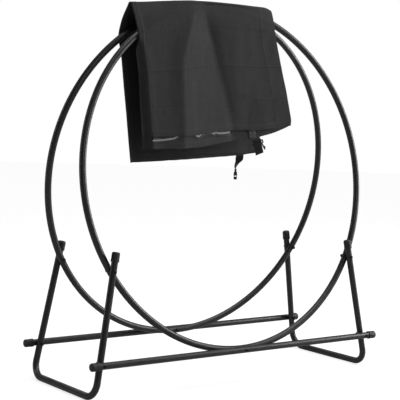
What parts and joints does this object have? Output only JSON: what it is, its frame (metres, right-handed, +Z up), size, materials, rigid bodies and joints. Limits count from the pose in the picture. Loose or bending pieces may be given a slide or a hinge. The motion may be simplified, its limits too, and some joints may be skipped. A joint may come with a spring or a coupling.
{
  "type": "firewood log rack",
  "caption": "Free-standing firewood rack: round tube hoops on U-shaped legs, tied by rails, with a folded fabric cover hung over the top.",
  "frame": {"origin": "on the floor, below the middle of the rack", "axes": "+X along the rack towards the right end, +Y from the front to the back, +Z up"},
  "size_m": [1.032, 0.3956, 1.101],
  "materials": {
    "tube": "satin black powder coat",
    "end_cap": "moulded black plastic",
    "fastener": "black coated steel",
    "cover_fabric": "coated charcoal woven cloth",
    "webbing": "black woven webbing",
    "buckle": "moulded black plastic"
  },
  "bodies": {
    "root": {"front_hoop_lower_arc": "tube", "front_hoop_left_arc": "tube", "front_hoop_right_arc": "tube", "rear_hoop_lower_arc": "tube", "rear_hoop_left_arc": "tube", "rear_hoop_right_arc": "tube", "left_leg": "tube", "right_leg": "tube", "front_rail": "tube", "rear_rail": "tube", "front_rail_left_cap": "end_cap", "front_rail_right_cap": "end_cap", "rear_rail_left_cap": "end_cap", "rear_rail_right_cap": "end_cap", "left_leg_front_cap": "end_cap", "left_leg_rear_cap": "end_cap", "right_leg_front_cap": "end_cap", "right_leg_rear_cap": "end_cap", "hoop_to_leg_bolts": "fastener", "hoop_to_leg_nuts": "fastener", "rail_to_leg_bolts": "fastener", "rail_to_leg_nuts": "fastener", "rail_to_hoop_bolts": "fastener", "rail_to_hoop_nuts": "fastener", "top_tie_bolts": "fastener", "top_tie_spacer": "fastener", "cover": "cover_fabric", "cover_front_strap": "webbing", "cover_rear_strap": "webbing", "buckle_socket": "buckle", "buckle_plug": "buckle"}
  },
  "joints": []
}
